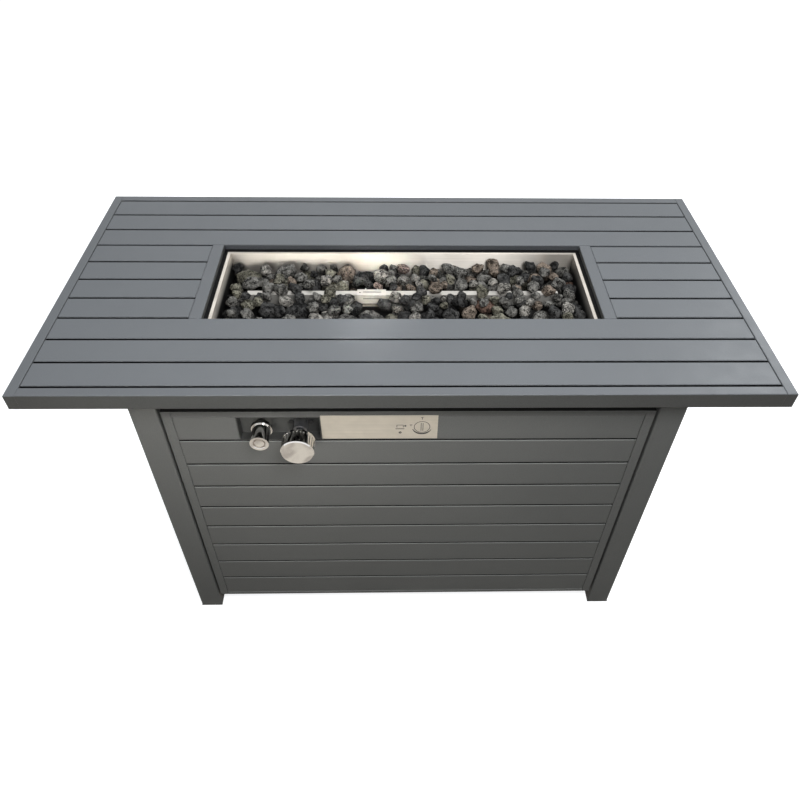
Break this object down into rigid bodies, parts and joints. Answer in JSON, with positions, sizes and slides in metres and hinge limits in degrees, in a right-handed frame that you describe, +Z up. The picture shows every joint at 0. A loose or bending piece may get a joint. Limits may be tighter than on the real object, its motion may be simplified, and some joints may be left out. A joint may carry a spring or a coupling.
{
  "type": "fire pit table",
  "caption": "Rectangular slatted metal fire pit table with a burner and lava stones in a central cut-out, over a panelled cabinet with a door, knob and igniter.",
  "frame": {"origin": "on the floor under the middle of the table top", "axes": "+X to the right along the long side, +Y to the back, away from the knob, +Z up"},
  "size_m": [1.07, 0.5362, 0.63],
  "materials": {
    "top_coat": "textured blue-grey powder coat",
    "base_coat": "textured dark warm grey powder coat",
    "bright_steel": "brushed stainless steel",
    "zinc_steel": "zinc-plated sheet steel",
    "black_steel": "blackened steel",
    "chrome_trim": "polished chrome plating",
    "brass_fitting": "machined brass",
    "cast_valve": "as-cast aluminium alloy",
    "champagne_plate": "brushed champagne anodised aluminium",
    "lava_rock": "porous lava rock, dark grey to brown",
    "black_plastic": "moulded black plastic",
    "white_ceramic": "glazed white ceramic",
    "lead_jacket": "silicone insulation",
    "copper_lead": "bare copper capillary",
    "glide_rubber": "moulded black rubber"
  },
  "bodies": {
    "table": {"back_frame": "base_coat", "back_slats": "base_coat", "burner_bar": "bright_steel", "burner_feet": "bright_steel", "burner_pan": "bright_steel", "cabinet_floor": "base_coat", "control_box": "base_coat", "feed_tube": "cast_valve", "flame_sensor": "white_ceramic", "foot_glides": "glide_rubber", "front_frame": "base_coat", "front_slats": "base_coat", "gas_valve": "cast_valve", "heat_shield": "zinc_steel", "igniter_bezel": "chrome_trim", "igniter_lead": "lead_jacket", "igniter_module": "black_plastic", "igniter_nut": "zinc_steel", "inlet_fitting": "brass_fitting", "lava_stones": "lava_rock", "left_frame": "base_coat", "left_slats": "base_coat", "leg_back_left": "base_coat", "leg_back_right": "base_coat", "leg_front_left": "base_coat", "leg_front_right": "base_coat", "long_slats_back": "top_coat", "long_slats_front": "top_coat", "lower_rails": "base_coat", "magnet_catch": "black_plastic", "mixer_nut": "zinc_steel", "mixer_tube": "cast_valve", "opening_ledge": "base_coat", "opening_strips": "top_coat", "orifice_elbow": "brass_fitting", "panel_brackets": "zinc_steel", "pilot_bracket": "bright_steel", "pilot_guard": "bright_steel", "pivot_brackets": "zinc_steel", "sensor_lead": "copper_lead", "short_slats": "top_coat", "sign_plate": "champagne_plate", "spark_electrode": "white_ceramic", "top_bearers": "base_coat", "top_rail_back": "top_coat", "top_rail_front": "top_coat", "top_rail_left": "top_coat", "top_rail_right": "top_coat", "upper_rails": "base_coat", "upper_slats": "base_coat", "valve_screws": "black_steel"},
    "door": {"door_frame": "base_coat", "door_slats": "base_coat", "door_pull": "base_coat", "door_striker": "zinc_steel", "pivot_pins": "zinc_steel"},
    "plunger": {"stem_collar": "zinc_steel"},
    "knob": {"control_knob": "chrome_trim", "valve_stem": "zinc_steel"},
    "button": {"igniter_button": "chrome_trim"}
  },
  "joints": [
    {"name": "door_swing", "type": "hinge", "parent": "table", "child": "door", "pos_m": [0.4053, 0.1748, 0.3], "axis": [0, 0, 1], "range_deg": [0, 105]},
    {"name": "knob_push", "type": "slide", "parent": "table", "child": "plunger", "axis": [0, 1, 0], "range_m": [0, 0.003], "stiffness_N_per_m": 2000, "springref_m": -0.003},
    {"name": "knob_turn", "type": "hinge", "parent": "plunger", "child": "knob", "pos_m": [-0.1555, -0.2592, 0.51875], "axis": [0, -1, 0], "range_deg": [0, 180]},
    {"name": "igniter_press", "type": "slide", "parent": "table", "child": "button", "axis": [0, 1, 0], "range_m": [0, 0.004], "stiffness_N_per_m": 1500, "springref_m": -0.002}
  ]
}
